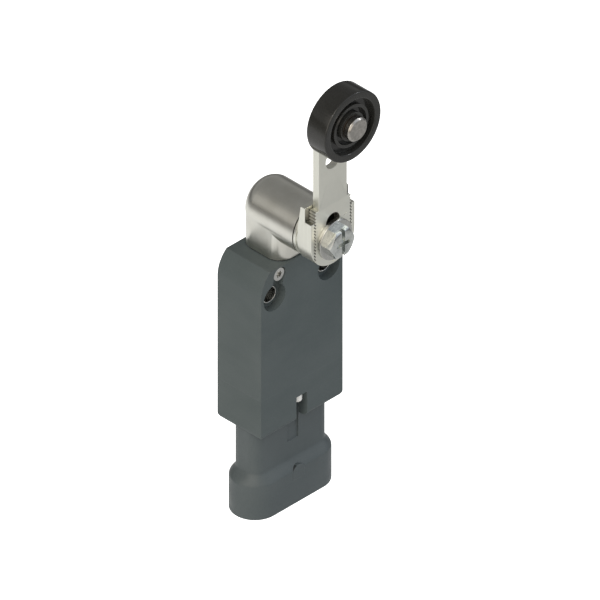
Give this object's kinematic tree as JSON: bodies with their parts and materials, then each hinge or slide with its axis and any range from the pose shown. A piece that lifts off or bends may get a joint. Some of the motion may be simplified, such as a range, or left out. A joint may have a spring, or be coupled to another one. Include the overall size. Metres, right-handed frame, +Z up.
{
  "type": "limit switch",
  "caption": "Compact limit switch with a toothed, length-adjustable roller lever on a die-cast head, a plastic housing and a plug-in connector below.",
  "frame": {"origin": "midway between the two fixing holes, on the rear mounting face", "axes": "+X to the right seen from the front, -Y out of the front, +Z up towards the roller"},
  "size_m": [0.0322, 0.0369, 0.1393],
  "materials": {
    "glass_filled_plastic": "fine spark-eroded texture, dark blue-grey",
    "connector_plastic": "fine moulded satin, dark blue-grey",
    "black_rubber": "matt",
    "white_plastic": "smooth moulded",
    "plated_steel": "bright zinc plate",
    "screw_steel": "bright plate",
    "contact_brass": "bright",
    "board_laminate": "solder mask",
    "nickel_die_cast": "satin nickel on a polished casting",
    "hub_die_cast": "satin nickel",
    "bush_bronze": "sintered bronze, oiled",
    "spring_steel": "drawn wire and strip",
    "stainless_plate": "tumbled stainless plate",
    "washer_steel": "bright plate",
    "clamp_screw_steel": "bright plate",
    "roller_plastic": "smooth turned black plastic",
    "pin_steel": "burnished steel",
    "block_plastic": "moulded natural"
  },
  "bodies": {
    "switch_body": {"housing": "glass_filled_plastic", "lower_cap": "glass_filled_plastic", "connector_body": "connector_plastic", "cap_seal": "black_rubber", "head_gasket": "black_rubber", "shaft_seal": "black_rubber", "diaphragm": "black_rubber", "latch_pin": "white_plastic", "mounting_bushes": "plated_steel", "head_screws": "screw_steel", "connector_pins": "contact_brass", "connector_board": "board_laminate", "head_body": "nickel_die_cast", "shaft_bush": "bush_bronze", "bush_circlip": "spring_steel", "lever_spring": "spring_steel", "plunger_spring": "spring_steel", "carriage_spring": "spring_steel", "switch_block": "block_plastic", "block_cover": "block_plastic", "nc_fixed_contacts": "contact_brass", "no_fixed_contacts": "contact_brass"},
    "lever": {"lever_shaft": "plated_steel", "shaft_clip": "spring_steel", "cam": "plated_steel", "hub": "hub_die_cast", "lever_plate": "stainless_plate", "clamp_washer": "washer_steel", "clamp_screw": "clamp_screw_steel", "roller_pin": "pin_steel", "spacer_washer": "plated_steel"},
    "roller_wheel": {"roller": "roller_plastic", "roller_bush": "bush_bronze"},
    "plunger": {"plunger": "white_plastic"},
    "contacts": {"contact_carriage": "white_plastic", "nc_bridge": "contact_brass", "no_bridge": "contact_brass", "contact_springs": "spring_steel"}
  },
  "joints": [
    {"name": "lever_swing", "type": "hinge", "parent": "switch_body", "child": "lever", "pos_m": [0, -0.02, 0.0197], "axis": [0, 1, 0], "range_deg": [-75, 75], "stiffness_Nm_per_rad": 0.12},
    {"name": "roller_spin", "type": "hinge", "parent": "lever", "child": "roller_wheel", "pos_m": [0, -0.03135, 0.0586], "axis": [0, 1, 0], "continuous": true},
    {"name": "plunger_slide", "type": "slide", "parent": "switch_body", "child": "plunger", "axis": [0, 0, -1], "range_m": [0, 0.002], "stiffness_N_per_m": 200, "deforming": ["plunger_spring"]},
    {"name": "contact_slide", "type": "slide", "parent": "switch_body", "child": "contacts", "axis": [0, 0, -1], "range_m": [0, 0.002], "stiffness_N_per_m": 200, "deforming": ["carriage_spring"]}
  ],
  "couplings": [
    {"joint": "contact_slide", "follows": "plunger_slide", "ratio": 1}
  ]
}
